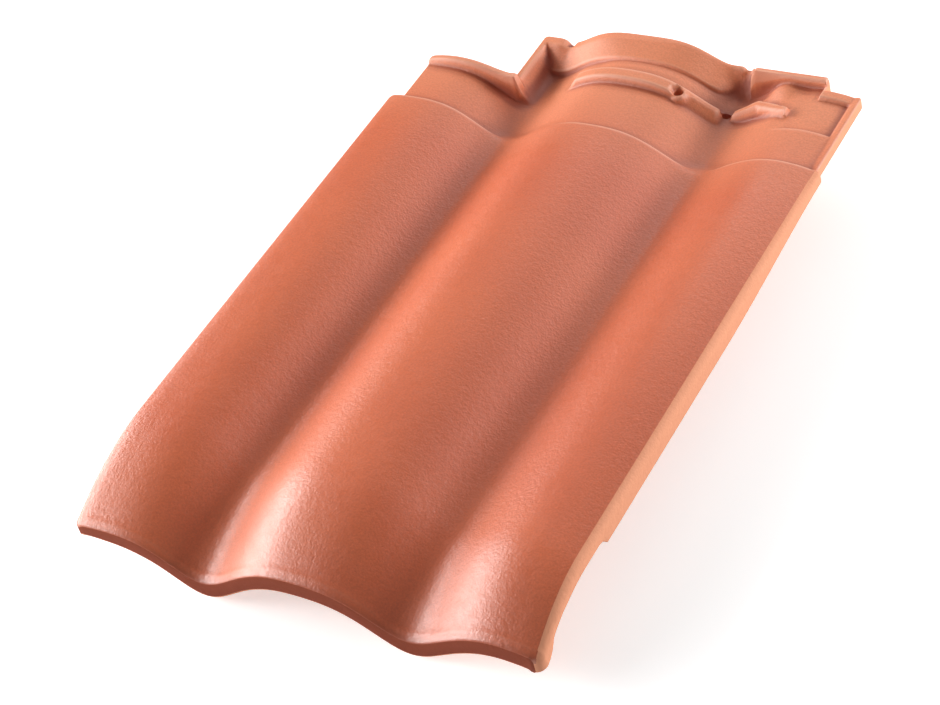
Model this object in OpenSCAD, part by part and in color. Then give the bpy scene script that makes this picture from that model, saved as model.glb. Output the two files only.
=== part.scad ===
// Clay roof tile: an interlocking tile with two waves, pressed and fired as one piece.
// X runs across the tile from the covering edge to the lapped edge, Y from the nose to the head.
// The tile lies on the lip of its nose and on its two hanging nibs, with Z up from the floor.

/* [Body] */
// Width from the covering edge on the left to the lapped edge on the right
tile_w = 280; // [270:1:290]
// Length from the nose to the back wall of the head
tile_l = 438; // [428:1:450]
// Upright thickness of the body
body_t = 10; // [9:0.5:11.5]
// Height of the two full rolls above the valleys
roll_h = 24.5; // [22:0.5:26]
// Height of the lapped roll on the right, which a neighbour covers
lap_roll_h = 20; // [18:0.5:21]
// Height of the face at the lapped edge
lap_edge_h = 14.5; // [13:0.5:16]
// Height of the face at the covering edge
cover_edge_h = 22.5; // [21:0.5:23]
// Rounding of the top edges at both sides
side_round = 1.5; // [1:0.5:2.5]

/* [Nose] */
// Fall of the face towards the nose
nose_fall = 18; // [16:0.5:20]
// Length over which the face falls at the covering edge
nose_len_left = 75; // [65:1:85]
// Length over which the face falls at the lapped edge
nose_len_right = 55; // [48:1:64]
// Rounding of the top edge at the nose
nose_round = 2.5; // [2:0.5:3]
// Rounding of the lower edge at the nose
lip_round = 5; // [4:0.5:6]
// Depth of the drip lip under the nose
lip_h = 3.5; // [2:0.5:4.5]
// Length of the drip lip
lip_len = 16; // [12:1:20]

/* [Lapped side] */
// Thickness of the edge in front of the side flange
edge_t = 8.5; // [8:0.5:9]
// Depth of the side flange below the edge of the face
flange_h = 12; // [11.5:0.5:13]
// Width of the side flange
flange_w = 7; // [5:0.5:9]
// Distance from the nose to the front end of the side flange
flange_start = 73; // [66:1:80]
// Thickness of the edge at the head, where the flange has run out
head_edge_t = 6.5; // [5.5:0.5:7.5]
// Distance from the nose at which the side flange starts to grow shallow
flange_taper = 218; // [200:1:240]

/* [Head] */
// Length of the head behind the step
head_len = 86; // [82:1:90]
// Depth of the step down to the head
head_step = 3; // [2:0.5:4]
// Inset of the head at the covering edge
cover_inset = 7; // [5:0.5:8]
// Inset of the head at the lapped edge
lap_inset = 2.5; // [2:0.5:3.5]
// Slope of the rib sides, measured across
draft = 1.2; // [0.8:0.1:1.5]

/* [Left head rib] */
// Distance from the back of the head to the front of the rib
left_rib_back = 51.5; // [50.5:0.5:53]
// Width of the rib
left_rib_w = 6.5; // [6:0.5:8]
// Run of the sloping front of the rib
left_rib_run = 2; // [1.5:0.5:3]
// Height of its top above the valleys, on the left roll
left_rib_h = 26; // [25:0.5:27]
// Height of its top above the valleys, at the side wall
left_rib_low_h = 19; // [18:0.5:20]
// Drop of its top towards the covering edge
left_rib_dip = 2.5; // [2:0.5:3]

/* [Back wall] */
// Distance from the back of the head to the foot of the wall
wall_foot = 19; // [18:0.5:20]
// Run of the sloping front of the wall
wall_run = 13; // [12:0.5:14]
// Setback of its foot in the right valley
wall_setback = 9; // [8:0.5:10]
// Height of the top above the valleys, at the right valley
wall_low_h = 11.5; // [11:0.5:13]
// Height of the top above the valleys, on the middle roll
arch_h = 25; // [24:0.5:27]
// Half of the width over which the top arches up to that height
arch_half_w = 55; // [52:1:57]
// Width of the side wall of the left valley
side_wall_w = 4; // [3.5:0.5:5]
// Run of the sloping inner side of that wall
side_wall_run = 4.5; // [4:0.5:6]
// Height of that wall above the valleys
side_wall_h = 14; // [13:0.5:15]
// Depth of the hollow in front of the wall
hollow_h = 1.2; // [0.8:0.1:1.6]
// Distance from the back of the head to the foot of the wall on the lapped roll
right_wall_foot = 14; // [13.5:0.5:15]
// Setback of the wall on the lapped roll
right_setback = 8.5; // [8:0.5:9]
// Height of the wall on the lapped roll above the valleys
right_wall_h = 19; // [18.5:0.5:20]
// Height of the swelling in front of that wall
swell_h = 4.5; // [4:0.5:5]
// Half of the width of that swelling
swell_half_w = 10; // [9:0.5:11]
// Depth of the drain notches
notch_h = 2.5; // [1.5:0.5:3]
// Width of the drain notches
notch_w = 7; // [6:0.5:8]

/* [Inner rib] */
// Distance from the back of the head to the middle of the rib
rib_back = 38.5; // [38:0.5:39.5]
// Width of the rib
rib_w = 11; // [10:0.5:12]
// Height of the rib
rib_h = 4.5; // [4:0.5:5.5]
// Run of the sloping front of the rib
rib_run = 2; // [1.5:0.5:2.5]
// Run of that front to the right of the nail hole
rib_soft_run = 6; // [5:0.5:7]
// Run of the sloping left end of the rib
rib_end_run = 5; // [4:0.5:6]
// Diameter of the nail holes
nail_d = 6; // [5:0.5:6.5]
// Distance of the nail hole on the middle roll in front of the middle of the rib
nail_offset = 1; // [0.5:0.5:2]
// Diameter of the flat seat around that nail hole
nail_seat_d = 9; // [8.5:0.5:10]
// Height of that seat above the face of the head
nail_seat_h = 3.5; // [3:0.5:4]
// Rim of the boss that carries the seat
nail_rim = 1; // [0.5:0.5:1.5]
// Distance from the back of the head to the nail hole in the right valley
valley_nail_back = 33.5; // [33:0.5:35]

/* [Right head rib] */
// Distance from the back of the head to the front of the rib, from the gap to its bend
right_rib_back = 37.5; // [37:0.5:38.5]
// Distance from the back of the head to its front, at its right end
right_rib_end_back = 43.5; // [42:0.5:45]
// Width of the rib at its bend
right_rib_w = 9; // [8:0.5:10]
// Width of the rib at its two ends
right_rib_end_w = 7; // [6:0.5:8]
// Height of its top above the valleys, at the gap
right_rib_low_h = 2; // [1:0.5:3]
// Height of its top above the valleys, at its bend
right_rib_bend_h = 12; // [11:0.5:13]
// Height of its top above the valleys, at its right end
right_rib_h = 17.5; // [16.5:0.5:18.5]

/* [Pocket] */
// Distance from the back of the head to the front of the pocket
pocket_back = 54.5; // [53.5:0.5:56]
// Length of the pocket
pocket_l = 31; // [30:0.5:32]
// Depth of the pocket
pocket_h = 2; // [1.5:0.5:3]
// Run over which the pocket deepens from the left
pocket_run = 12; // [10:0.5:14]
// Distance from the back of the head to the back of the flange
flange_back = 17; // [16.5:0.5:18]

/* [Hanging nibs] */
// Width of a nib
nib_w = 26; // [22:1:28]
// Length of a nib at its foot
nib_l = 12; // [10:1:13]
// Slope of the nib's sides, measured across
nib_draft = 3; // [2:0.5:4]
// Distance from the back of the head to the face that hooks over the batten
nib_back = 25; // [24.5:0.5:27]

/* [Fineness] */
// Largest spacing of the stations across the tile
step_x = 6.5; // [5.5:0.5:8]
// Largest spacing of the stations along the bend of the nose
step_nose = 7.5; // [6.5:0.5:10]
// Largest spacing of the stations across the underside
step_under = 9; // [8:0.5:11]

/* [Hidden] */
// Crests and valleys across the width: roll, valley, roll, valley, lapped roll, lapped edge
wave_shares = [0.048, 0.272, 0.464, 0.722, 0.908, 1];
wave_heights = [roll_h, 0, roll_h, 0, lap_roll_h, lap_edge_h];
// How early a flank climbs and how late a flank falls
climb_share = 0.73;
late_share = 1.9;
// Plan positions across the width
side_wall_share = 0.221;
left_rib_shares = [0.072, 0.096, 0.229];
rib_shares = [0.352, 0.691];
right_rib_shares = [0.716, 0.779, 0.860];
pocket_shares = [0.832, 0.974];
right_wall_shares = [0.730, 0.745];
right_wall_end_share = 0.905;
setback_shares = [0.657, 0.711];
hollow_shares = [0.357, 0.400, 0.714, 0.757];
swell_share = 0.807;
notch_shares = [0.289, 0.711];
arch_share = 0.480;
nail_share = 0.6125;
valley_nail_share = 0.7035;
nib_shares = [0.272, 0.722];
// How late the top of the left rib falls
fall_share = 1.5;
// Share of the back wall's height that its foot takes as a low step
wall_step_share = 0.28;
// How deep the boss, the nibs and the right rib are rooted, in shares of the body's thickness
boss_root_share = 0.8;
nib_root_share = 0.8;
rib_root_share = 0.5;

overrun = body_t;
step_y = tile_l - head_len;
rib_y = tile_l - rib_back;
rib_front_y = rib_y - rib_w / 2;
rib_end_y = rib_y + rib_w / 2;
left_rib_y = tile_l - left_rib_back;
left_rib_end_y = left_rib_y + left_rib_w;
wall_y = tile_l - wall_foot;
wall_top_y = wall_y + wall_run;
right_back_y = tile_l - right_setback;
wall_set_y = wall_y + wall_setback;
right_wall_y = tile_l - right_wall_foot;
flange_back_y = tile_l - flange_back;
pocket_y = tile_l - pocket_back;
pocket_end_y = pocket_y + pocket_l;
side_wall_x = tile_w * side_wall_share;
side_wall_top_x = side_wall_x + side_wall_w;
side_wall_foot_x = side_wall_top_x + side_wall_run;
left_rib_x = tile_w * left_rib_shares;
rib_x = tile_w * rib_shares;
right_rib_x = tile_w * right_rib_shares;
hollow_x = tile_w * hollow_shares;
setback_x = tile_w * setback_shares;
swell_x = tile_w * swell_share;
pocket_x = tile_w * pocket_shares;
right_wall_x = tile_w * right_wall_shares;
right_wall_end_x = tile_w * right_wall_end_share;
notch_x = tile_w * notch_shares;
lap_x = tile_w - lap_inset;
nail_x = tile_w * nail_share;
nail_y = rib_y - nail_offset;
valley_nail_x = tile_w * valley_nail_share;
valley_nail_y = tile_l - valley_nail_back;

function clamp(t) = min(1, max(0, t));
function ramp(v, a, b) = clamp((v - a) / (b - a));
function ease(t) = (1 - cos(180 * clamp(t))) / 2;
function mix(a, b, t) = a + (b - a) * t;
// A share of 1 on a rib between a and b, falling to 0 over the draft outside it
function rib(v, a, b, run) = min(ramp(v, a - run, a), 1 - ramp(v, b, b + run));
// Drop of a quarter circle of radius r at the distance d from its edge
function corner(d, r) = d >= r ? 0 : r - sqrt(max(0, r * r - (r - d) * (r - d)));

// Height of the waved face above the valleys
function flank(x, i) =
    let (a = tile_w * wave_shares[i], b = tile_w * wave_shares[i + 1], t = ramp(x, a, b),
         up = wave_heights[i + 1] > wave_heights[i])
    mix(wave_heights[i], wave_heights[i + 1], ease(pow(t, up ? climb_share : late_share)));
function lap_side(x) =
    let (t = ramp(x, tile_w * wave_shares[4], tile_w))
    mix(lap_roll_h, lap_edge_h, t * t);
function cover_side(x) =
    let (t = 1 - ramp(x, 0, tile_w * wave_shares[0]))
    mix(roll_h, cover_edge_h, t * t);
function wave(x) =
    x < tile_w * wave_shares[0] ? cover_side(x)
    : x < tile_w * wave_shares[1] ? flank(x, 0)
    : x < tile_w * wave_shares[2] ? flank(x, 1)
    : x < tile_w * wave_shares[3] ? flank(x, 2)
    : x < tile_w * wave_shares[4] ? flank(x, 3)
    : lap_side(x);

// Fall of the face towards the nose
function nose(x, y) =
    let (l = mix(nose_len_left, nose_len_right, x / tile_w), t = 1 - ramp(y, 0, l))
    nose_fall * t * t;
function lip(y) = lip_h * (1 - ease(y / lip_len)) - corner(y, lip_round);

// Top of the back wall above the valleys
function notch_at(x) =
    notch_h * max([for (c = notch_x) 1 - ramp(abs(x - c), notch_w / 4, notch_w / 2)]);
function wall_low(x) =
    mix(side_wall_h, wall_low_h, ramp(x, notch_x[0] - notch_w, notch_x[0])) - notch_at(x);
function arch(x) =
    let (u = abs(x - tile_w * arch_share) / arch_half_w)
    mix(wall_low(x), arch_h, 1 - ease(pow(u, late_share)));
function wall_top(x) = mix(arch(x), right_wall_h, ramp(x, right_wall_x[0], right_wall_x[1]));
function band_at(x, y) =
    let (foot = wall_y + wall_setback * ramp(x, setback_x[0], setback_x[1]))
    mix(ramp(y, foot, wall_top_y), ramp(y, foot - draft, foot), wall_step_share);
function right_wall_at(x, y) =
    ramp(y, right_wall_y, right_wall_y + draft)
    * (1 - ramp(x, right_wall_end_x, right_wall_end_x + draft));
function wall_at(x, y) = x > right_wall_x[0] ? right_wall_at(x, y) : band_at(x, y);

// Face of the body and floor of the head above the valleys
function face(x, y) = wave(x) - nose(x, y) - corner(y, nose_round)
    - corner(x, side_round) - corner(tile_w - x, side_round);
function head(x) = wave(x) - head_step * (1 - ramp(x, pocket_x[1], lap_x));
function floor_h(x, y) = mix(face(x, y), head(x), ramp(y, step_y, step_y + draft));
// The pocket runs back to the wall on the lapped roll, and ends earlier beside it
function pocket_to(x) = x > right_wall_end_x ? pocket_end_y : right_wall_y + draft;
function pocket(x, y) =
    pocket_h * ramp(x, pocket_x[0], pocket_x[0] + pocket_run)
        * (1 - ramp(x, pocket_x[1] - draft, pocket_x[1]))
        * rib(y, pocket_y + draft, pocket_to(x) - draft, draft);
function hollow(x, y) =
    hollow_h * ramp(x, hollow_x[0], hollow_x[1]) * (1 - ramp(x, hollow_x[2], hollow_x[3]))
        * ramp(y, rib_end_y, rib_end_y + draft);
function swell(x, y) =
    let (u = (x - swell_x) / swell_half_w)
    swell_h * exp(-u * u) * ease(ramp(y, rib_end_y, right_wall_y));

// The rib on the left roll and the side wall that it runs into
function side_wall(x, y) =
    ramp(y, left_rib_y, left_rib_y + left_rib_run)
    * (1 - ramp(x, side_wall_top_x, side_wall_foot_x));
function left_rib(x, y) = side_wall(x, y) * (1 - ramp(y, left_rib_end_y, left_rib_end_y + draft));
function left_rib_top(x) =
    let (fall = ramp(x, left_rib_x[0], left_rib_x[2]), dip = 1 - ramp(x, cover_inset, left_rib_x[1]))
    mix(left_rib_h, left_rib_low_h, ease(pow(fall, fall_share))) - left_rib_dip * dip * dip;

// The inner rib, with a softer front to the right of its nail hole
function rib_slope(x) = mix(rib_run, rib_soft_run, ramp(x, nail_x, nail_x + nail_d));
function rib_at(x, y) =
    ramp(y, rib_front_y, rib_front_y + rib_slope(x))
    * (1 - ramp(y, rib_end_y - draft, rib_end_y))
    * ramp(x, rib_x[0], rib_x[0] + rib_end_run) * (1 - ramp(x, rib_x[1], rib_x[1] + rib_run));

// Height of the top of the tile above the valleys
function top_h(x, y) =
    let (base = floor_h(x, y) - pocket(x, y) - hollow(x, y) + swell(x, y))
    max(base + rib_h * rib_at(x, y),
        mix(base, max(base, left_rib_top(x)), left_rib(x, y)),
        mix(base, max(base, side_wall_h), side_wall(x, y)),
        mix(base, max(base, wall_top(x)), wall_at(x, y)));

// Height of the underside above the valleys
function edge_depth(y) =
    y < flange_start ? mix(edge_t, flange_h, ramp(y, flange_start - draft, flange_start))
    : mix(flange_h, head_edge_t, ease(ramp(y, flange_taper, step_y)));
function at_edge(x) = ramp(x, tile_w - flange_w - draft, tile_w - flange_w);
function under_h(x, y) =
    let (base = wave(x) - nose(x, y) - head_step * ramp(y, step_y - body_t, step_y),
         edge = lap_edge_h - nose(x, y) - edge_depth(y))
    mix(base - body_t, edge, at_edge(x)) - lip(y);

// Stations between the marks, none further apart than the step
function stations(marks, step) =
    [for (i = [0 : len(marks) - 2]) let (n = max(1, ceil((marks[i + 1] - marks[i]) / step)))
        for (k = [0 : n - 1]) mix(marks[i], marks[i + 1], k / n), marks[len(marks) - 1]];
function sorted(v) =
    len(v) <= 1 ? v
    : let (p = v[floor(len(v) / 2)])
      concat(sorted([for (k = v) if (k < p) k]), [p], sorted([for (k = v) if (k > p) k]));

// Marks that lie closer than the gap to the one before them are left out
function thinned(v, gap) = [for (i = [0 : len(v) - 1]) if (i == 0 || v[i] - v[i - 1] > gap) v[i]];

round_shares = [0, 0.13, 0.4, 1];
top_x = stations(thinned(sorted(concat(
    [for (s = round_shares) side_round * s], [for (s = round_shares) tile_w - side_round * s],
    [cover_inset, side_wall_x, side_wall_top_x, side_wall_foot_x],
    [rib_x[0], rib_x[0] + rib_end_run, nail_x, nail_x + nail_d, rib_x[1], rib_x[1] + rib_run],
    [pocket_x[0], pocket_x[0] + pocket_run, pocket_x[1] - draft, pocket_x[1], lap_x],
    [right_wall_x[0], right_wall_x[1], right_wall_end_x, right_wall_end_x + draft],
    [setback_x[0], setback_x[1], swell_x],
    [for (c = notch_x) for (s = [-1, 1]) for (q = [2, 4]) c + s * notch_w / q],
    [for (s = wave_shares) tile_w * s])), draft / 8), step_x);
top_y = stations(thinned(sorted(concat(
    [for (s = round_shares) nose_round * s],
    stations([nose_round, nose_len_left], step_nose),
    [step_y, step_y + draft, left_rib_y, left_rib_y + left_rib_run, left_rib_end_y, left_rib_end_y + draft],
    [rib_front_y, rib_front_y + rib_run, rib_front_y + rib_soft_run],
    [rib_end_y - draft, rib_end_y, rib_end_y + draft],
    [pocket_y, pocket_y + draft, pocket_end_y - draft, pocket_end_y],
    [wall_y - draft, wall_y, wall_set_y - draft, wall_set_y, wall_top_y],
    [right_wall_y, right_wall_y + draft, right_back_y, flange_back_y, tile_l])), draft / 8), tile_l);
under_x = stations(sorted(concat([0, tile_w - flange_w - draft, tile_w - flange_w],
    [for (s = wave_shares) tile_w * s])), step_under);
under_y = stations(sorted(concat([flange_start - draft, flange_start, step_y, left_rib_y, tile_l],
    stations([flange_taper, step_y - body_t], (step_y - flange_taper) / 4),
    [for (s = round_shares) lip_round * s],
    stations([lip_round, lip_len], lip_len / 4),
    stations([lip_len, nose_len_left], step_nose * 2))), tile_l);

// Level of the valleys above the floor, so that the lip touches the floor
valley_z = max([for (y = under_y) nose(tile_w * wave_shares[1], y) + lip(y)]) + body_t;

// Closes the gap between two rows of points, a above b, that run the same way
function below(v, t) = len([for (q = v) if (q < t) q]) - 1;
function upto(v, t) = len([for (q = v) if (q <= t) q]) - 1;
function closing(a, at_a, b, at_b) = concat(
    [for (i = [0 : len(a) - 2]) [a[i], a[i + 1], b[below(at_b, at_a[i + 1])]]],
    [for (k = [0 : len(b) - 2]) [a[upto(at_a, at_b[k + 1])], b[k + 1], b[k]]]);
function turned(faces) = [for (f = faces) [f[2], f[1], f[0]]];
function skin(nx, ny, first) =
    [for (j = [0 : ny - 2]) for (i = [0 : nx - 2]) for (half = [0, 1])
        let (a = first + j * nx + i, b = a + 1, c = b + nx, d = a + nx)
        half == 0 ? [a, c, b] : [a, d, c]];
function row(nx, j, first) = [for (i = [0 : nx - 1]) first + j * nx + i];
function column(nx, ny, i, first) = [for (j = [0 : ny - 1]) first + j * nx + i];

// The pressed body: the waved face above, the underside below and the edges between them
module body() {
    nx = len(top_x);
    ny = len(top_y);
    mx = len(under_x);
    my = len(under_y);
    low = nx * ny;
    points = concat(
        [for (y = top_y) for (x = top_x) [x, y, valley_z + top_h(x, y)]],
        [for (y = under_y) for (x = under_x) [x, y, valley_z + under_h(x, y)]]);
    front = closing(row(nx, 0, 0), top_x, row(mx, 0, low), under_x);
    back = closing(row(nx, ny - 1, 0), top_x, row(mx, my - 1, low), under_x);
    left = closing(column(nx, ny, 0, 0), top_y, column(mx, my, 0, low), under_y);
    right = closing(column(nx, ny, nx - 1, 0), top_y, column(mx, my, mx - 1, low), under_y);
    polyhedron(points, concat(skin(nx, ny, 0), turned(skin(mx, my, low)),
        front, turned(back), turned(left), right));
}

// What the press cuts away from the corners of the head
module head_cuts() {
    tall = valley_z + 2 * tile_w;
    translate([-overrun, step_y + draft, -overrun])
        cube([overrun + cover_inset, head_len, tall]);
    translate([-overrun, left_rib_end_y, -overrun])
        cube([overrun + side_wall_x, left_rib_back, tall]);
    translate([lap_x, step_y + draft, -overrun])
        cube([overrun, head_len, tall]);
    translate([right_wall_x[0], right_back_y, -overrun])
        cube([tile_w, overrun, tall]);
    translate([right_wall_end_x + draft, flange_back_y, -overrun])
        cube([tile_w, 2 * overrun, tall]);
}

// The upright hole for one nail
module nail_hole(x, y) {
    translate([x, y, 0])
        cylinder(d = nail_d, h = valley_z + tile_w, $fn = 48);
}

// The flat seat of the nail on the middle roll, and the boss that carries it
seat_z = valley_z + head(nail_x) + nail_seat_h;
module nail_seat() {
    translate([nail_x, nail_y, seat_z])
        cylinder(d = nail_seat_d, h = tile_w, $fn = 48);
}
module nail_boss() {
    translate([nail_x, nail_y, seat_z - body_t * boss_root_share])
        cylinder(d = nail_seat_d + 2 * nail_rim, h = body_t * boss_root_share, $fn = 48);
}

// The rib across the lapped roll: straight from the gap to its bend, then forward to its right end
function rib_section(x, front, w, h) =
    let (root = valley_z + head(x) - body_t * rib_root_share, top = valley_z + h)
    [[x, front, root], [x, front + rib_run, top], [x, front + w - draft, top], [x, front + w, root]];
module right_rib() {
    points = concat(
        rib_section(right_rib_x[0], tile_l - right_rib_back, right_rib_end_w, right_rib_low_h),
        rib_section(right_rib_x[1], tile_l - right_rib_back, right_rib_w, right_rib_bend_h),
        rib_section(right_rib_x[2], tile_l - right_rib_end_back, right_rib_end_w, right_rib_h));
    sides = [for (i = [0, 4]) for (k = [0 : 3]) for (half = [0, 1])
        let (a = i + k, b = i + (k + 1) % 4)
        half == 0 ? [a, b, b + 4] : [a, b + 4, a + 4]];
    polyhedron(points, concat(sides, [[0, 3, 2], [0, 2, 1], [8, 9, 10], [8, 10, 11]]));
}

// One hanging nib, with its upright face towards the nose
module nib(x) {
    deep = valley_z - head_step - body_t * (1 - nib_root_share);
    translate([x + nib_w / 2, tile_l - nib_back, 0])
        rotate([0, -90, 0])
            linear_extrude(height = nib_w)
                polygon([[0, 0], [deep, 0], [deep, nib_l + nib_draft], [0, nib_l]]);
}

module roof_tile() {
    color("#c4643f")
        translate([-tile_w / 2, -tile_l / 2, 0]) {
            difference() {
                union() {
                    body();
                    nail_boss();
                    right_rib();
                    for (share = nib_shares)
                        nib(tile_w * share);
                }
                head_cuts();
                nail_seat();
                nail_hole(nail_x, nail_y);
                nail_hole(valley_nail_x, valley_nail_y);
            }
        }
}

roof_tile();
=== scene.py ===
# %% [markdown]
# # A clay roof tile
# This lesson dresses one interlocking roof tile: pressed clay with two waves, a nose that bends down,
# and a ribbed head that the next tile covers. The solids made in CAD give the size and the frame.
# Here the tile gets its soft pressed edges, its satin skin and its studio light.

import math

import bmesh
import bpy
import numpy as np
from mathutils import Matrix, Vector


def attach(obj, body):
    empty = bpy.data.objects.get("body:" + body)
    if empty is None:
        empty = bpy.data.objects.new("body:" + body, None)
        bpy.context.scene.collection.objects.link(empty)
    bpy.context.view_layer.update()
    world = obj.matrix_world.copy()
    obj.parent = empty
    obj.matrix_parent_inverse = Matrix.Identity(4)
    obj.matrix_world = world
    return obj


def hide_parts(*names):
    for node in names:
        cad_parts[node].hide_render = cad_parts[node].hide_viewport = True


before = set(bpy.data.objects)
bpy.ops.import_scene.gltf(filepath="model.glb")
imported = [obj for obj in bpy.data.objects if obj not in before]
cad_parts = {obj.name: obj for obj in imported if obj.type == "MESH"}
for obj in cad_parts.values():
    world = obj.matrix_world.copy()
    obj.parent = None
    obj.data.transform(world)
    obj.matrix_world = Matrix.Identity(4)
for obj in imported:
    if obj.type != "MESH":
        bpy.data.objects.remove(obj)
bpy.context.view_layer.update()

# %% [markdown]
# ## The sizes of the tile
# A pressed tile is a sheet of clay between two dies: every point of it has one height above and one below.
# So it can be made as a grid whose points are lifted to those heights, and all that the grid needs
# is a set of sizes and a few small curves. The sizes are in millimetres, as on a die maker's drawing,
# with X from the covering edge and Y from the nose.

# %% Sizes of the body, in millimetres
width, length, thick = 280.0, 438.0, 10.0
roll_h, lap_roll_h, lap_edge_h, cover_edge_h = 24.5, 20.0, 14.5, 22.5
crest_x = width * np.array([0.048, 0.272, 0.464, 0.722, 0.908, 1.0])
crest_h = [roll_h, 0.0, roll_h, 0.0, lap_roll_h, lap_edge_h]
climb, late = 0.73, 1.9
nose_fall, nose_left, nose_right, nose_round = 18.0, 75.0, 55.0, 0.9
lip_h, lip_len, lip_round = 3.5, 16.0, 5.0
edge_round, lap_round = 1.5, 3.4
bead_y, bead_w, bead_h = 3.8, 1.7, 0.38
valley_soft = 17.0
print("body", width, "x", length, "mm, waves at", crest_x.round(1))

# %% Sizes of the head, in millimetres
draft = 1.3
step_y, step_h = length - 86.0, 3.0
cover_x, lap_x = 7.0, width - 2.5
left_rib_y, left_rib_end, left_rib_run = length - 51.5, length - 45.0, 2.2
left_rib_top, left_rib_low = 26.0, 19.0
side_wall_x, side_wall_w, side_wall_run, side_wall_h = width * 0.221, 4.1, 10.0, 13.8
wall_y, wall_low_h, wall_edge = length - 19.2, 11.5, 0.9
arch_x, arch_h, arch_half = width * 0.480, 25.0, 55.0
notch_x, notch_w, notch_h = width * np.array([0.289, 0.711]), 7.0, 2.5
right_wall_x = width * np.array([0.730, 0.745])
right_wall_end, right_wall_h, right_wall_y = width * 0.905, 19.2, length - 14.0
right_back_y, flange_back_y = length - 8.5, length - 17.0
rib_front, rib_run, rib_back, rib_h = length - 44.2, 1.8, length - 33.0, 4.3
rib_x = (width * 0.352, width * 0.691)
right_rib_x = width * np.array([0.716, 0.779, 0.860])
right_rib_top = [1.8, 12.0, 17.6]
right_rib_front = length - np.array([37.5, 37.5, 43.5])
right_rib_back = length - np.array([31.5, 29.3, 37.8])
pocket_x, pocket_h, pocket_run = width * np.array([0.832, 0.974]), 2.2, 12.0
pocket_y = (length - 54.3, length - 23.5)
nail_r, seat_r, seat_h, seat_run = 3.0, 3.8, 3.3, 0.8
boss_rim, boss_run = 0.8, 1.5
roll_nail = (width * 0.6125, length - 39.4)
valley_nail = (width * 0.7035, length - 33.5)
print("head from", step_y, "mm, nails at", [round(c, 1) for c in roll_nail + valley_nail])

# %% [markdown]
# ## The height of the face
# Each feature of the die is a short curve: a ramp, an eased wave, a quarter round. The highest of them
# at a point is the face there. They work on whole arrays, so that thousands of grid points are lifted
# at once. The waves are kept as a table of means over a short reach, because a die has no crease along
# its valleys.

# %% Curves that every feature shares
def ramp(v, a, b):
    return np.clip((v - a) / (b - a), 0, 1)


def ease(t):
    return (1 - np.cos(np.pi * np.clip(t, 0, 1))) / 2


def mix(a, b, t):
    return a + (b - a) * t


def ridge(v, a, b, run):
    return np.minimum(ramp(v, a - run, a), 1 - ramp(v, b, b + run))


def quarter_round(d, r):
    d = np.clip(d, 0, r)
    return r - np.sqrt(np.maximum(0, r * r - (r - d) ** 2))


print("ease at a quarter:", round(float(ease(0.25)), 3))

# %% The two waves, with their valleys rounded
def sharp_wave(x):
    h = mix(crest_h[0], cover_edge_h, (1 - ramp(x, 0, crest_x[0])) ** 2)
    for i in range(4):
        t = ramp(x, crest_x[i], crest_x[i + 1])
        up = crest_h[i + 1] > crest_h[i]
        flank = mix(crest_h[i], crest_h[i + 1], ease(t ** (climb if up else late)))
        h = np.where(x >= crest_x[i], flank, h)
    lap = mix(lap_roll_h, lap_edge_h, ramp(x, crest_x[4], width) ** 2)
    return np.where(x >= crest_x[4], lap, h)


wave_x = np.linspace(0, width, 1401)
wave_reach = np.clip(np.minimum(wave_x, width - wave_x), 0, valley_soft)
shares = np.linspace(-1, 1, 17)
heights_near = [sharp_wave(wave_x + share * wave_reach) for share in shares]
wave_h = np.average(heights_near, axis=0, weights=np.exp(-2 * shares ** 2))


def wave(x):
    return np.interp(x, wave_x, wave_h)


print("wave heights", wave(np.linspace(0, width, 9)).round(1))

# %% The bend of the nose, its bead and its rounded edges
lap_zone, lap_end = (width - 12, width - 7), (step_y - 20, step_y - 4)


def nose(x, y):
    reach = mix(nose_left, nose_right, ramp(x, 0, width))
    return nose_fall * (1 - ramp(y, 0, reach)) ** 2


def bead(y):
    return bead_h * np.exp(-(((y - bead_y) / bead_w) ** 2))


def edge_radius(x, y):
    lapped = ramp(x, *lap_zone) * (1 - ramp(y, *lap_end))
    return mix(edge_round, lap_round, lapped)


print("nose falls", nose(np.array([0.0]), np.array([0.0]))[0], "mm")

# %% The step down to the head, which fades out in the valleys
left_fade, right_fade = (76, 112, 16), (200, 208, 14)
fade_front, fade_back = step_y - 5, step_y + 8


def head_floor(x):
    return wave(x) - step_h * (1 - ramp(x, pocket_x[1], lap_x))


def step_down(x, y):
    spread = np.maximum(ridge(x, *left_fade), ridge(x, *right_fade))
    crisp = ramp(y, step_y, step_y + draft)
    return mix(crisp, ease(ramp(y, fade_front, fade_back)), spread)


print("head floor on the crests", head_floor(crest_x[[0, 2, 4]]).round(1))

# %% The wall at the back, hollow at the right valley and in the left corner
notch_y = (length - 7, length - 2)
bowl_x, foot_x, corner_x = (182, 199), (183, 199), (70, 84)
bowl_foot_y, bowl_run, bowl_power = length - 9.5, 8, 2.2
corner_share, foot_share = 0.6, 0.28
crown_x, crown_y = [66, 100, 134, 165, 190, 204], [431, 431, 432, 435.5, 435.5, 435]


def wall_top(x):
    over = 1 - ease((np.abs(x - arch_x) / arch_half) ** late)
    low = mix(side_wall_h, wall_low_h, ramp(x, notch_x[0] - notch_w, notch_x[0]))
    return mix(mix(low, arch_h, over), right_wall_h, ramp(x, *right_wall_x))


def notch(x, y):
    sides = [1 - ease(ramp(np.abs(x - c), notch_w / 6, notch_w / 2)) for c in notch_x]
    return notch_h * np.max(sides, axis=0) * ease(ramp(y, *notch_y))


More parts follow.
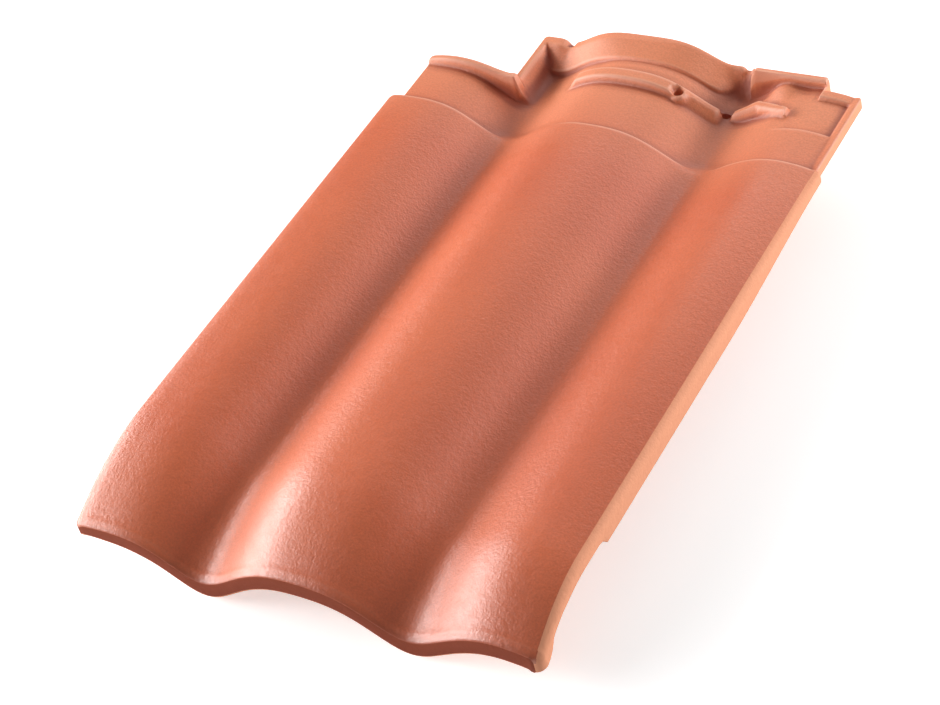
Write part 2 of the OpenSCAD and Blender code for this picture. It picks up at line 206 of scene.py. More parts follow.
def back_wall(x, y):
    bowl = ease(ramp(x, *bowl_x)) + corner_share * (1 - ramp(x, *corner_x))
    foot = mix(wall_y, bowl_foot_y, ease(ramp(x, *foot_x)))
    crown = np.interp(x, crown_x, crown_y)
    band = mix(ramp(y, foot, crown), ramp(y, foot - wall_edge, foot), foot_share)
    hollowed = ramp(y, foot - bowl_run, crown) ** bowl_power
    right_end = 1 - ramp(x, right_wall_end, right_wall_end + draft)
    upright = ramp(y, right_wall_y, right_wall_y + draft) * right_end
    return np.where(x > right_wall_x[0], upright, mix(band, hollowed, np.clip(bowl, 0, 1)))


print("back wall over the roll", wall_top(np.array([arch_x])).round(1), "mm above the valleys")

# %% The rib on the left roll and the side wall of the left valley
side_wall_inner = side_wall_x + side_wall_w
left_rib_fade, left_rib_fall_x, left_rib_power = 4.5, (20, 64), 1.5
left_rib_dip, left_rib_dip_run, side_wall_power = 2.5, 20, 2.4


def left_rib_rise(y):
    return ramp(y, left_rib_y, left_rib_y + left_rib_run)


def left_rib(x, y):
    along = left_rib_rise(y) * (1 - ramp(y, left_rib_end, left_rib_end + draft))
    return along * (1 - ramp(x, side_wall_inner, side_wall_inner + left_rib_fade))


def left_rib_height(x):
    fall = mix(left_rib_top, left_rib_low, ease(ramp(x, *left_rib_fall_x) ** left_rib_power))
    return fall - left_rib_dip * (1 - ramp(x, cover_x, cover_x + left_rib_dip_run)) ** 2


def side_wall(x, y):
    fall = 1 - ramp(x, side_wall_inner, side_wall_inner + side_wall_run)
    return left_rib_rise(y) * fall ** side_wall_power


print("left rib from", left_rib_height(np.array([cover_x, side_wall_x])).round(1), "mm")

# %% The inner ribs
past_nail_x, soft_front, soft_run = roll_nail[0] + np.array([1, 7]), 0.5, 6.0
rib_left_run, rib_right_run, right_rib_run = 5, 3, 2.0


def middle_rib(x, y):
    past_nail = ramp(x, *past_nail_x)
    front = rib_front + soft_front * past_nail
    run = mix(rib_run, soft_run, past_nail)
    along = ramp(x, rib_x[0], rib_x[0] + rib_left_run)
    along = along * (1 - ramp(x, rib_x[1], rib_x[1] + rib_right_run))
    return ramp(y, front, front + run) * (1 - ramp(y, rib_back - draft, rib_back)) * along


def right_rib(x, y):
    front = np.interp(x, right_rib_x, right_rib_front)
    back = np.interp(x, right_rib_x, right_rib_back)
    along = ridge(x, right_rib_x[0] + draft, right_rib_x[2] - draft, draft)
    return ramp(y, front, front + right_rib_run) * (1 - ramp(y, back, back + draft)) * along


print("ribs", rib_h, "mm high")

# %% The pocket, the groove behind the ribs and the shoulder at the right wall
groove_left, groove_right, groove_h = (100, 112), (200, 212), 1.2
groove_y = (rib_back - 0.5, rib_back + 2)
shoulder_x, shoulder_w, shoulder_y, shoulder_h = 226, 10, (407, 423), 4.5


def pocket(x, y):
    across = ramp(x, pocket_x[0], pocket_x[0] + pocket_run)
    across = across * (1 - ramp(x, pocket_x[1] - draft, pocket_x[1]))
    back = np.where(x > right_wall_end, pocket_y[1], right_wall_y + draft)
    along = ramp(y, pocket_y[0], pocket_y[0] + draft) * (1 - ramp(y, back - draft, back))
    return pocket_h * across * along


def groove(x, y):
    return groove_h * ramp(x, *groove_left) * (1 - ramp(x, *groove_right)) * ramp(y, *groove_y)


def shoulder(x, y):
    return shoulder_h * np.exp(-(((x - shoulder_x) / shoulder_w) ** 2)) * ease(ramp(y, *shoulder_y))


print("pocket", pocket_h, "mm deep, shoulder", shoulder_h, "mm high")

# %% The whole face, before its edges are softened
seat_level = float(head_floor(np.array([roll_nail[0]]))[0]) + seat_h


def face(x, y):
    body = wave(x) - nose(x, y) + bead(y)
    base = mix(body, head_floor(x), step_down(x, y))
    base = base - pocket(x, y) - groove(x, y) + shoulder(x, y)
    h = mix(base, np.maximum(base, left_rib_height(x)), left_rib(x, y))
    h = np.maximum(h, mix(base, np.maximum(base, side_wall_h), side_wall(x, y)))
    h = np.maximum(h, mix(base, np.maximum(base, wall_top(x)), back_wall(x, y))) - notch(x, y)
    h = np.maximum(h, mix(base, head_floor(x) + rib_h, middle_rib(x, y)))
    h = np.maximum(h, mix(base, np.interp(x, right_rib_x, right_rib_top), right_rib(x, y)))
    from_nail = np.hypot(x - roll_nail[0], y - roll_nail[1])
    boss_r = seat_r + boss_rim
    boss = mix(np.maximum(base, seat_level), base, ramp(from_nail, boss_r, boss_r + boss_run))
    h = np.maximum(h, boss)
    return mix(seat_level, h, ramp(from_nail, seat_r, seat_r + seat_run))


print("seat of the nail", round(seat_level, 2), "mm above the valleys")

# %% [markdown]
# ## Softened by the press
# No edge on pressed clay is sharp. Bevels on every rib would need a clean mesh under them, and this grid
# is not made of ribs. Instead each point takes the weighted mean of the face around it, within less than
# a millimetre, which rounds every edge and fills every corner in one go, as slip does in a die.

# %% The softened face
soft, soft_fall, soft_steps = 0.7, 2.2, np.linspace(-1, 1, 7)


def softened(x, y, reach):
    total, weight = np.zeros_like(x), 0.0
    for i in soft_steps:
        for j in soft_steps:
            away = i * i + j * j
            if away <= 1.01:
                w = math.exp(-soft_fall * away)
                total += w * face(x + i * reach, np.maximum(y + j * reach, 0))
                weight += w
    return total / weight


sample = np.array([150.0]), np.array([step_y])
print("step edge softened by", (face(*sample) - softened(*sample, soft)).round(2), "mm")

# %% [markdown]
# ## The outline in plan
# Seen from above the tile is a rectangle with its head set in at both sides and stepped at the back.
# The grid follows these straight lines, so that whole faces can be taken away outside them, and closer
# lines of points beside each of them leave room for a rounded edge. More lines follow the creases of the
# face. The corners are rounded in plan afterwards.

# %% Lines that the grid has to follow
head_y, right_end_x = step_y + draft, right_wall_end + draft
beside = np.array([0, 0.12, 0.42, 0.9, 1.6])
lines_x = [
    (0, 1), (cover_x, 1), (side_wall_x, 1),
    (right_wall_x[0], -1), (right_end_x, -1), (lap_x, -1), (width, -1)]
lines_y = [(head_y, -1), (left_rib_end, -1), (flange_back_y, -1), (right_back_y, -1), (length, -1)]
lap_crease = 3.4
lap_columns = width - lap_crease + np.array([-1.0, -0.3, 0, 0.3, 0.9])
creases_x = np.concatenate([
    side_wall_inner + np.array([0, side_wall_run]),
    [rib_x[0], rib_x[0] + rib_left_run, rib_x[1], rib_x[1] + rib_right_run],
    right_rib_x, pocket_x[1] - np.array([0, draft]), [right_wall_x[1], right_wall_end],
    notch_x, lap_columns])
creases_y = np.concatenate([
    [step_y, left_rib_y, left_rib_y + left_rib_run],
    [pocket_y[0], pocket_y[0] + draft, pocket_y[1] - draft, pocket_y[1]],
    [rib_front, rib_front + rib_run, rib_front + soft_front + soft_run, rib_back - draft, rib_back],
    [wall_y - wall_edge, wall_y, right_wall_y, right_wall_y + draft, crown_y[2]]])
print(len(creases_x), "creases along the tile,", len(creases_y), "across it")

# %% Columns and rows of the grid
column, column_apart = 2.8, 1.0
body_row, head_line, head_apart = 7.0, 1.25, 0.5
crease_gap, crease_side = 0.3, 0.45
nose_end, body_end, head_start = 80, 340, 344


def grid_lines(lines, creases, filling, apart):
    fixed = np.concatenate([at + way * beside for at, way in lines])
    creases = creases[np.abs(creases[:, None] - fixed[None, :]).min(axis=1) > crease_gap]
    fixed = np.unique(np.concatenate([fixed, creases]).round(3))
    free = filling[np.abs(filling[:, None] - fixed[None, :]).min(axis=1) > apart]
    return np.unique(np.concatenate([fixed, free]))


xs = grid_lines(lines_x, creases_x, np.arange(0, width, column), column_apart)
nose_rows = np.concatenate([
    [0, 0.1, 0.35, 0.75, 1.3, 1.9],
    np.arange(2.5, 8, 0.6), np.arange(8, 20, 1.75), np.arange(20, nose_end, 3.5)])
near_creases = np.concatenate([creases_y + side for side in (-crease_side, 0, crease_side)])
head_rows = grid_lines(lines_y, near_creases, np.arange(head_start, length, head_line), head_apart)
ys = np.unique(np.concatenate([nose_rows, np.arange(nose_end, body_end, body_row), head_rows]))
head_row = int(np.searchsorted(ys, head_start - 0.1))
print("grid of", len(xs), "by", len(ys), "lines,", len(ys) - head_row, "of them in the head")

# %% Where the tile is, and its rounded corners
# Each corner has its place, the way inward in X and in Y, and its radius.
corners = [
    (0, 0, 1, 1, 3.0), (width, 0, -1, 1, 5.5), (0, head_y, 1, -1, 5.0), (width, head_y, -1, -1, 2.2),
    (cover_x, left_rib_end, 1, -1, 3.0), (side_wall_x, length, 1, -1, 3.0),
    (right_wall_x[0], length, -1, -1, 3.0), (right_end_x, right_back_y, -1, -1, 2.5),
    (lap_x, flange_back_y, -1, -1, 3.0),
]


def inside(x, y):
    head_left = np.where(y < left_rib_end, cover_x, side_wall_x)
    right_back = np.where(x < right_end_x, right_back_y, flange_back_y)
    head_back = np.where(x < right_wall_x[0], length, right_back)
    head = (x > head_left) & (x < lap_x) & (y < head_back)
    return np.where(y < head_y, True, head)


def to_disc(u, v):
    return u * np.sqrt(np.maximum(1 - v * v / 2, 0))


def round_corners(x, y):
    for cx, cy, wx, wy, r in corners:
        u, v = (cx + wx * r - x) * wx / r, (cy + wy * r - y) * wy / r
        near = (u >= 0) & (u <= 1.0001) & (v >= 0) & (v <= 1.0001)
        x = np.where(near, cx + wx * r * (1 - to_disc(u, v)), x)
        y = np.where(near, cy + wy * r * (1 - to_disc(v, u)), y)
    return x, y


print(len(corners), "corners rounded in plan")

# %% Distance from the outline
# The front edge is left out of the loop below, because the nose has a rounding of its own.
outline = [
    (0, 0), (width, 0), (width, head_y), (lap_x, head_y), (lap_x, flange_back_y),
    (right_end_x, flange_back_y), (right_end_x, right_back_y), (right_wall_x[0], right_back_y),
    (right_wall_x[0], length), (side_wall_x, length), (side_wall_x, left_rib_end),
    (cover_x, left_rib_end), (cover_x, head_y), (0, head_y),
]


def from_edge(x, y):
    d = np.full_like(x, np.inf)
    for (ax, ay), (bx, by) in zip(outline[1:], outline[2:] + outline[:1]):
        dx, dy = bx - ax, by - ay
        t = np.clip(((x - ax) * dx + (y - ay) * dy) / (dx ** 2 + dy ** 2), 0, 1)
        d = np.minimum(d, np.hypot(x - mix(ax, bx, t), y - mix(ay, by, t)))
    for cx, cy, wx, wy, r in corners:
        u, v = (cx + wx * r - x) * wx, (cy + wy * r - y) * wy
        near = (u > 0) & (v > 0) & (u <= r + 0.01) & (v <= r + 0.01)
        d = np.where(near, np.minimum(d, np.maximum(r - np.hypot(u, v), 0)), d)
    return d


middle = np.array([width / 2]), np.array([200.0])
print("middle of the tile is", from_edge(*middle).round(1), "mm from its edge")

# %% [markdown]
# ## The underside
# Below, the tile follows its face at an even thickness, a little thinner at the covering edge of the
# nose. A lip hangs under the nose to shed drips, a flange runs along the lapped edge, and two nibs at the
# head hook over the roof batten. They are heights too, so the second side of the grid is set to them.

# %% The height of the underside
flange_h, flange_w, head_edge_t, flange_taper = 12.0, 7.0, 6.5, 218.0
edge_y = [0, 2.8, 5.0, 8.0, 10.5, 12.5, 14.7, 17.0, 19.5, 24.0, 32.0, 71.8, 75.6]
edge_t = [8.2, 9.2, 10.2, 10.6, 10.2, 9.1, 6.9, 5.2, 5.0, 5.6, 6.6, 6.8, flange_h]
cover_thin, cover_thin_x, cover_thin_y = 3.2, (0, 40), (20, 60)
nib_w, nib_l, nib_draft, nib_side, nib_front = 26.0, 12.0, 3.0, 1.2, 0.8
nib_x, nib_y = crest_x[[1, 3]], length - 25.0
nib_back = nib_y + nib_l


def lip(y):
    return lip_h * (1 - ease(y / lip_len)) - quarter_round(y, lip_round)


rows = np.linspace(0, lip_len, 400)
valley_z = float(np.max(nose(np.full_like(rows, crest_x[1]), rows) + lip(rows))) + thick


def edge_depth(y):
    along = mix(flange_h, head_edge_t, ease(ramp(y, flange_taper, step_y)))
    return np.where(y < edge_y[-1], np.interp(y, edge_y, edge_t), along)


def underside(x, y):
    base = wave(x) - nose(x, y) - step_h * ramp(y, step_y - thick, step_y) - thick
    thin = cover_thin * (1 - ramp(x, *cover_thin_x)) * (1 - ramp(y, *cover_thin_y))
    edge = lap_edge_h - nose(x, y) - edge_depth(y)
    return mix(base - lip(y) + thin, edge, ramp(x, width - flange_w - draft, width - flange_w))


def with_nibs(x, y):
    low = underside(x, y)
    for c in nib_x:
        across = 1 - ramp(np.abs(x - c), nib_w / 2 - nib_side, nib_w / 2)
        along = np.minimum(ramp(y, nib_y, nib_y + nib_front), 1 - ramp(y, nib_back, nib_back + nib_draft))
        low = np.minimum(low, mix(low, -valley_z, np.minimum(across, along)))
    return low


print("valleys lie", round(valley_z, 2), "mm above the floor")

# %% [markdown]
# ## The tile as one mesh
# `create_grid` gives an even sheet. Faces outside the outline are deleted, then every point is carried to
# its place in plan and lifted to the softened face. One `extrude_face_region` gives the sheet its second
# side and its edges, and the new points are set to the underside, which closes the body.

# %% A flat grid cut to the outline
bm = bmesh.new()
bmesh.ops.create_grid(bm, x_segments=len(xs) - 1, y_segments=len(ys) - 1, size=1)


def at_line(v, lines):
    return np.interp((v + 1) / 2 * (len(lines) - 1), np.arange(len(lines)), lines)


centres = np.array([f.calc_center_median()[:2] for f in bm.faces])
kept = inside(at_line(centres[:, 0], xs), at_line(centres[:, 1], ys))
bmesh.ops.delete(bm, geom=[f for f, k in zip(list(bm.faces), kept) if not k], context="FACES")
print("kept", len(bm.faces), "faces of the sheet")

# %% Twice as many lines across the head, where the ribs are
head_level = 2 * head_row / (len(ys) - 1) - 1 - 1e-4


def in_head_row(edge):
    a, b = (v.co.y for v in edge.verts)
    return min(a, b) > head_level and abs(a - b) < 1e-6


crosswise = [e for e in bm.edges if in_head_row(e)]
bmesh.ops.subdivide_edges(bm, edges=crosswise, cuts=1, use_grid_fill=True)
print("sheet of", len(bm.faces), "faces")

# %% Lift the sheet to the softened face
low_round, least_thick = 0.9, 2
flat = np.array([v.co[:2] for v in bm.verts])
plan_x, plan_y = round_corners(at_line(flat[:, 0], xs), at_line(flat[:, 1], ys))
edge_gap = from_edge(plan_x, plan_y)
top_z = valley_z + softened(plan_x, plan_y, soft)
top_z -= quarter_round(edge_gap, edge_radius(plan_x, plan_y))
top_z -= quarter_round(plan_y, nose_round)
low_z = valley_z + with_nibs(plan_x, plan_y) + quarter_round(edge_gap, low_round)
low_z = np.clip(low_z, 0, top_z - least_thick)


def placed(x, y, z):
    return Vector(((x - width / 2) / 1000, (y - length / 2) / 1000, z / 1000))


for v, x, y, z in zip(bm.verts, plan_x, plan_y, top_z):
    v.co = placed(x, y, z)
print("face from", top_z.min().round(2), "to", top_z.max().round(2), "mm")

# %% Extrude the second side
skin = list(bm.faces)
lowered = {}
for v, x, y, z in zip(bm.verts, plan_x, plan_y, low_z):
    lowered[v.co.to_tuple(7)] = placed(x, y, z)
made = bmesh.ops.extrude_face_region(bm, geom=skin)
for v in made["geom"]:
    if isinstance(v, bmesh.types.BMVert):
        v.co = lowered[v.co.to_tuple(7)]
bmesh.ops.recalc_face_normals(bm, faces=bm.faces)
if bm.calc_volume(signed=True) < 0:
    bmesh.ops.reverse_faces(bm, faces=bm.faces)
open_edges = sum(1 for e in bm.edges if not e.is_manifold)
print("body of", len(bm.faces), "faces,", open_edges, "open edges")
print("clay", round(bm.calc_volume() * 1e6, 1), "cm3")

# %% To an object
mesh = bpy.data.meshes.new("tile_body")
bm.to_mesh(mesh)
bm.free()
tile = bpy.data.objects.new("tile_body", mesh)
bpy.context.scene.collection.objects.link(tile)
print(tile.name, "has", len(mesh.vertices), "points")

# %% [markdown]
# ## The nail holes
# The holes are pushed through the wet clay by pins that flare at the top. A short profile spun round the
# pin's axis makes the cutter, and a Boolean takes it out of the body. It is applied at once, so the mesh
# is plain afterwards.

# %% The pins
pin_half, pin_mouth, pin_steps, valley_pin_lift = 30, nail_r + 0.45, 40, 0.6
pin_profile = [
    (0, -pin_half), (nail_r, -pin_half), (nail_r, -0.5), (nail_r + 0.12, -0.15),
    (pin_mouth, 0.1), (pin_mouth, pin_half), (0, pin_half)]


def nail_pin(name, at, level):
    pin = bmesh.new()
    ring = [pin.verts.new(placed(at[0] + r, at[1], level + z)) for r, z in pin_profile]
    lines = [pin.edges.new(pair) for pair in zip(ring, ring[1:])]
    bmesh.ops.spin(
        pin, geom=ring + lines, cent=placed(at[0], at[1], 0), axis=(0, 0, 1),
        angle=math.tau, steps=pin_steps, use_merge=True)
    bmesh.ops.remove_doubles(pin, verts=pin.verts, dist=1e-6)
    bmesh.ops.recalc_face_normals(pin, faces=pin.faces)
    cutter_mesh = bpy.data.meshes.new(name)
    pin.to_mesh(cutter_mesh)
    pin.free()
    cutter = bpy.data.objects.new(name, cutter_mesh)
    bpy.context.scene.collection.objects.link(cutter)
    return cutter


valley_level = valley_z + float(head_floor(np.array([valley_nail[0]]))[0])
pins = [
    nail_pin("roll_pin", roll_nail, valley_z + seat_level),
    nail_pin("valley_pin", valley_nail, valley_level + valley_pin_lift)]
print("pins of", len(pins[0].data.polygons), "faces each")

# %% Cut the nail holes
for pin in pins:
    cut = tile.modifiers.new(pin.name, "BOOLEAN")
    cut.operation, cut.solver, cut.object = "DIFFERENCE", "EXACT", pin
cut_tile = tile.evaluated_get(bpy.context.evaluated_depsgraph_get())
shape = bpy.data.meshes.new_from_object(cut_tile)
tile.modifiers.clear()
tile.data = shape
for pin in pins:
    bpy.data.objects.remove(pin)
print("drilled tile has", len(shape.polygons), "faces")

# %% Smooth shading, with sharp edges only where the clay is cut
sharp_degrees = 48
shape.polygons.foreach_set("use_smooth", [True] * len(shape.polygons))
shape.set_sharp_from_angle(angle=math.radians(sharp_degrees))
triangles = sum(len(p.vertices) - 2 for p in shape.polygons)
print("tile of", triangles, "triangles")

# %% [markdown]
# ## What the finish needs to know
# Ridges and rounded edges get a painted highlight, a paler colour, and hollows and creases get painted
# shade, a darker colour. The sides and the underside never got the skin, and the front edge is dark and
# dull.
# These facts are stored on the mesh as attributes, so that the material follows the clay in every view.

# %% Helpers to read the mesh and to write on it
def vectors(items, name):
    values = np.empty(len(items) * 3)
    items.foreach_get(name, values)
    return values.reshape(-1, 3)


def in_drawing(places):
    return places * 1000 + [width / 2, length / 2, 0]


def store(name, domain, values):
    layer = shape.attributes.new(name, "FLOAT", domain)
    layer.data.foreach_set("value", values.astype(np.float32))


point_x, point_y, point_z = in_drawing(vectors(shape.vertices, "co")).T
print(len(point_x), "points from", point_y.min().round(1), "to", point_y.max().round(1), "mm")

# %% Relief, hollows and rounded edges, at the points
# Relief and rounding place the painted highlights; hollow and negative relief place the painted shade.
relief_reach, relief_full, hollow_reach, hollow_full = 3.0, 0.7, 11.0, 1.8
skin_depth, rounding_zone, lap_crease_half, lap_crease_y = 4, (0.2, 1.8), 0.2, (2, 34)
near_h = softened(point_x, point_y, soft)
relief = np.clip((near_h - softened(point_x, point_y, relief_reach)) / relief_full, -1, 1)
hollow = np.clip((softened(point_x, point_y, hollow_reach) - near_h) / hollow_full, 0, 1)
rounding = 1 - ramp(from_edge(point_x, point_y), *rounding_zone)
# The crease beside the lapped edge gets the lowest relief, so that it gets the full painted shade.
in_crease = np.abs(point_x - width + lap_crease) < lap_crease_half
in_crease &= (point_y > lap_crease_y[0]) & (point_y < lap_crease_y[1])
relief = np.where(in_crease, -1.0, relief)
is_face = point_z > valley_z + near_h - skin_depth
for name, values in (("relief", relief), ("rounding", rounding), ("hollow", hollow)):
    store(name, "POINT", np.where(is_face, values, 0))
print("relief from", relief.min().round(2), "to", relief.max().round(2))

# %% Bare clay and the front edge, on the faces
edge_near, upright_z, front_way, down_way = 0.1, 0.3, -0.6, -0.1
front_end, lap_band_x = width - 4.5, width - 3.2
middle_x, middle_y, _ = in_drawing(vectors(shape.polygons, "center")).T
_, way_y, way_z = vectors(shape.polygons, "normal").T
at_edge = np.minimum(from_edge(middle_x, middle_y), middle_y) < edge_near
upright = at_edge & (np.abs(way_z) < upright_z)
front = upright & (way_y < front_way) & (middle_x < front_end)
lap_band = (middle_x > lap_band_x) & (middle_y < step_y) & ~front
bare = (way_z < down_way) | (upright & ~front) | lap_band
for name, values in (("bare", bare), ("front", front)):
    store(name, "FACE", values)
print("bare faces", int(bare.sum()), "front faces", int(front.sum()))

# %% [markdown]
# ## The fired clay
# The face carries a thin clay slip, burnt to a satin salmon red that turns duller at the head, and painted
# paler
# towards the head as painted light. It has an orange-peel grain of one to three millimetres. Noise gives it:
# broad clouds from the kiln, a fine sand, patches of sheen, and the peel itself, which only bends the light.
# All of it reads Object coordinates, so it stays on the clay when the camera moves.

# %% Helpers for nodes
def add(tree, kind, **values):
    made = tree.nodes.new(kind)
    for key, value in values.items():
        if key in made.inputs:
            if hasattr(value, "links"):
                tree.links.new(value, made.inputs[key])
            else:
                made.inputs[key].default_value = value
        else:
            setattr(made, key, value)
    return made


def noise(tree, place, size_mm, detail=2):
    made = add(tree, "ShaderNodeTexNoise", Vector=place, Scale=1000.0 / size_mm, Detail=detail)
    return made.outputs["Fac"]


def ranged(tree, value, low, high, to_low, to_high):
    sockets = {"Value": value, "From Min": low, "From Max": high, "To Min": to_low, "To Max": to_high}
    return add(tree, "ShaderNodeMapRange", **sockets).outputs["Result"]


def blended(tree, share, a, b, kind="MIX"):
    made = add(tree, "ShaderNodeMix", data_type="RGBA", blend_type=kind)
    factor, colour_a, colour_b = (made.inputs[i] for i in (0, 6, 7))
    for value, socket in ((share, factor), (a, colour_a), (b, colour_b)):
        if hasattr(value, "links"):
            tree.links.new(value, socket)
        else:
            socket.default_value = value
    return made.outputs[2]


def stored(tree, name):
    return add(tree, "ShaderNodeAttribute", attribute_name=name).outputs["Fac"]


print("node helpers ready")

# %% The colours of the clay
skin_colour, cloud_colour = (0.65, 0.142, 0.050, 1), (0.60, 0.121, 0.043, 1)
# The pale colour is a painted highlight on ridges and edges; the hollow colour is painted shade in hollows
# and creases.
painted_highlight_colour, painted_shade_colour = (0.76, 0.34, 0.215, 1), (0.36, 0.066, 0.022, 1)
head_lit_colour = (0.70, 0.208, 0.084, 1)
bare_colour, front_colour = (0.84, 0.355, 0.205, 1), (0.29, 0.062, 0.030, 1)
cloud_mm, cloud_detail, cloud_span = 90, 3, (0.35, 0.65)
noise_span, sand_mm, sand_tones, head_lit_span = (0.3, 0.7), 1.1, (0.90, 1.07), (0.10, 0.18)
clay = bpy.data.materials.new("satin_clay")
clay.use_nodes = True
tree = clay.node_tree
skin_shader = tree.nodes["Principled BSDF"]
place = add(tree, "ShaderNodeTexCoord").outputs["Object"]
toward_head = add(tree, "ShaderNodeSeparateXYZ", Vector=place).outputs["Y"]
clouds = ranged(tree, noise(tree, place, cloud_mm, cloud_detail), *cloud_span, 0, 1)
colour = blended(tree, clouds, skin_colour, cloud_colour)
# Towards the head the colour turns paler: painted light, as if more light fell on the head.
colour = blended(tree, ranged(tree, toward_head, *head_lit_span, 0, 1), colour, head_lit_colour)
sand = ranged(tree, noise(tree, place, sand_mm), *noise_span, *sand_tones)
colour = blended(tree, 1.0, colour, sand, "MULTIPLY")
print("clay so far has", len(tree.nodes), "nodes")

# %% Painted shade in hollows and creases, painted highlights on edges, and bare clay
# Each row has an attribute, its range, the strength of the tint at both ends of it, and the tint.
bare_value, front_value = stored(tree, "bare"), stored(tree, "front")
relief_value = stored(tree, "relief")
# These rows paint shade into hollows and creases, and paint highlights on ridges and along the rounded
# outline.
tints = [
    (stored(tree, "hollow"), (0.1, 0.9), (0, 0.9), painted_shade_colour),
    (relief_value, (0.1, 0.8), (0, 0.7), painted_highlight_colour),
    (relief_value, (-0.1, -0.9), (0, 0.45), painted_shade_colour),
    (stored(tree, "rounding"), (0.3, 1), (0, 0.3), painted_highlight_colour),
]
for value, limits, strengths, tint in tints:
    colour = blended(tree, ranged(tree, value, *limits, *strengths), colour, tint)
colour = blended(tree, bare_value, colour, bare_colour)
colour = blended(tree, front_value, colour, front_colour)
tree.links.new(colour, skin_shader.inputs["Base Color"])
print(len(tints) + 2, "tints over the skin")

# %% The sheen, duller at the head and dullest where the clay is bare
sheen_mm, skin_rough, head_duller = 5, (0.39, 0.47), (0.11, 0.16)
head_rough, bare_rough = (0.6, 0.6, 0.6, 1), (0.75, 0.75, 0.75, 1)
skin_specular, bare_specular = 1.0, 0.2
rough = ranged(tree, noise(tree, place, sheen_mm), *noise_span, *skin_rough)
rough = blended(tree, ranged(tree, toward_head, *head_duller, 0, 1), rough, head_rough)
either = add(tree, "ShaderNodeMath", operation="MAXIMUM")
tree.links.new(bare_value, either.inputs[0])
tree.links.new(front_value, either.inputs[1])
matte = either.outputs[0]
rough = blended(tree, matte, rough, bare_rough)
tree.links.new(rough, skin_shader.inputs["Roughness"])
specular = ranged(tree, matte, 0, 1, skin_specular, bare_specular)
tree.links.new(specular, skin_shader.inputs["Specular IOR Level"])
print("sheen set, clay has", len(tree.nodes), "nodes")

# %% The peel and the finer grain, which bend the light
peel_mm, peel_m, grain_mm, grain_m, strength = 2.6, 0.0004, 1.2, 0.0003, 0.5
peel = add(tree, "ShaderNodeBump", Strength=strength, Distance=peel_m, Height=noise(tree, place, peel_mm))
grain = add(tree, "ShaderNodeBump", Strength=strength, Distance=grain_m, Height=noise(tree, place, grain_mm))
tree.links.new(peel.outputs["Normal"], grain.inputs["Normal"])
tree.links.new(grain.outputs["Normal"], skin_shader.inputs["Normal"])
tile.data.materials.clear()
tile.data.materials.append(clay)
print("clay has", len(tree.nodes), "nodes")

# %% Give the tile its place in the part
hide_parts("roof_tile")
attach(tile, "root")
print(tile.name, "has", len(tile.data.materials), "material")

# %% [markdown]
# ## The studio
# A plain pale floor takes the shadow. A wide soft box stands low at the left, so that the waves show light
# on one flank and dark on the other. A weak one at the front left opens the nose, one low at the right and
# behind keeps the far flanks from going black, and a weak one at the back draws a line of light along the
# edges of the head. A dim sky fills the rest.

# %% The floor
floor_half, floor_glow = 6, 0.45
paper_colour, paper_rough = (0.9, 0.9, 0.9, 1), 0.9
floor_bm = bmesh.new()
bmesh.ops.create_grid(floor_bm, x_segments=1, y_segments=1, size=floor_half)
floor_mesh = bpy.data.meshes.new("floor")
floor_bm.to_mesh(floor_mesh)
floor_bm.free()
floor = bpy.data.objects.new("floor", floor_mesh)
bpy.context.scene.collection.objects.link(floor)
paper = bpy.data.materials.new("white_paper")
paper.use_nodes = True
paper_tree = paper.node_tree
paper_shader = paper_tree.nodes["Principled BSDF"]
paper_shader.inputs["Base Color"].default_value = paper_colour
paper_shader.inputs["Roughness"].default_value = paper_rough
seen = add(paper_tree, "ShaderNodeLightPath").outputs["Is Camera Ray"]
paper_shader.inputs["Emission Color"].default_value = (1, 1, 1, 1)
glow = ranged(paper_tree, seen, 0, 1, 0, floor_glow)
paper_tree.links.new(glow, paper_shader.inputs["Emission Strength"])
floor.data.materials.append(paper)
print("floor", [round(v, 1) for v in floor.dimensions])

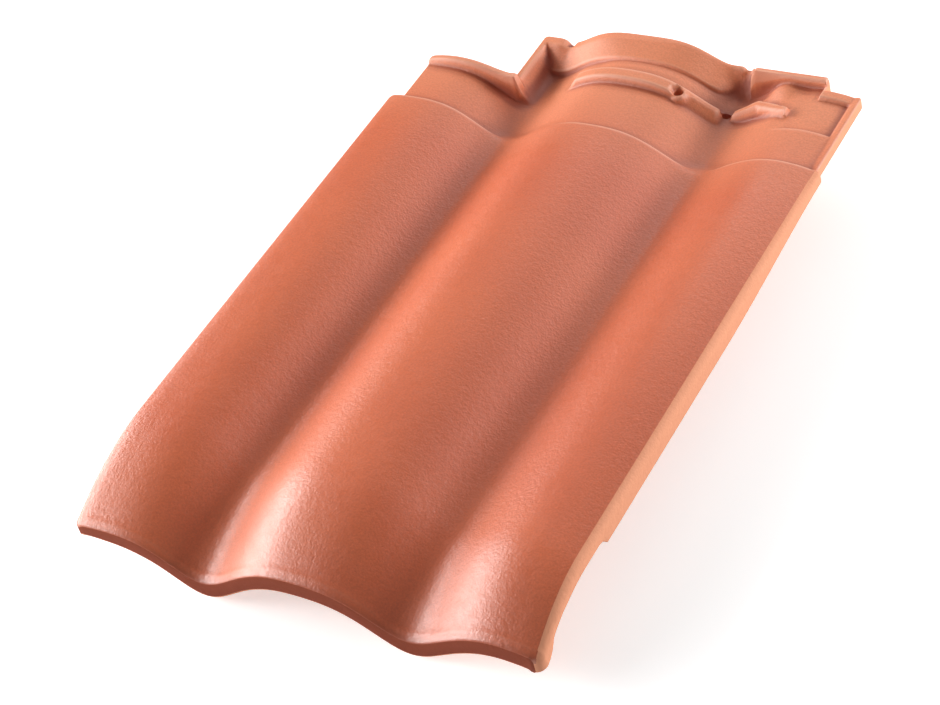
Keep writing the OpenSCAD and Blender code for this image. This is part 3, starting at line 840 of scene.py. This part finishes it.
# %% The lamps
# Each row has a name, the way to the lamp, its distance, its two sizes in metres and its power in watts.
lamps = [
    ("left_box", (-0.933, -0.115, 0.342), 1.7, (1.7, 1.0), 48),
    ("front_box", (-0.663, -0.557, 0.5), 1.7, (0.9, 0.6), 8.5),
    ("right_box", (0.795, 0.556, 0.242), 1.7, (0.9, 0.5), 25),
    ("back_box", (0.0, 0.86, 0.51), 1.25, (1.2, 0.5), 5),
]
aim, sky_strength = Vector((0, 0, 0.03)), 0.16


def soft_box(name, direction, distance, size, power):
    data = bpy.data.lights.new(name, "AREA")
    data.shape, data.size, data.size_y, data.energy = "RECTANGLE", size[0], size[1], power
    lamp = bpy.data.objects.new(name, data)
    bpy.context.scene.collection.objects.link(lamp)
    toward = Vector(direction).normalized()
    lamp.location = toward * distance + aim
    lamp.rotation_mode = "QUATERNION"
    lamp.rotation_quaternion = toward.to_track_quat("Z", "Y")


for row in lamps:
    soft_box(*row)
world = bpy.data.worlds.new("studio")
bpy.context.scene.world = world
world.use_nodes = True
sky = world.node_tree.nodes["Background"]
sky.inputs["Color"].default_value = (1, 1, 1, 1)
sky.inputs["Strength"].default_value = sky_strength
print(len(lamps), "soft boxes and a dim sky")

# %% [markdown]
# ## The camera
# The camera stands where the photo was taken from, worked out from the tile's straight edges: at the nose,
# to the right, looking down, and rolled so that the tile lies aslant in the picture.

# %% Place the camera
sensor_mm, focal_pixels, photo_pixels = 36.0, 2460.0, 940.0
camera_at = (0.6413, -0.8169, 0.9084)
right, down = Vector((0.8594, 0.4658, -0.2109)).normalized(), Vector((0.1834, -0.6658, -0.7233))
camera_data = bpy.data.cameras.new("camera")
camera_data.sensor_width = sensor_mm
camera_data.lens = focal_pixels / photo_pixels * sensor_mm
camera = bpy.data.objects.new("camera", camera_data)
bpy.context.scene.collection.objects.link(camera)
back = right.cross(-down).normalized()
up = back.cross(right)
turn = Matrix((right, up, back)).transposed().to_4x4()
camera.matrix_world = Matrix.Translation(camera_at) @ turn
bpy.context.scene.camera = camera
bpy.context.scene.view_settings.view_transform = "Standard"
print("camera at", camera_at, "lens", round(camera_data.lens, 1), "mm")
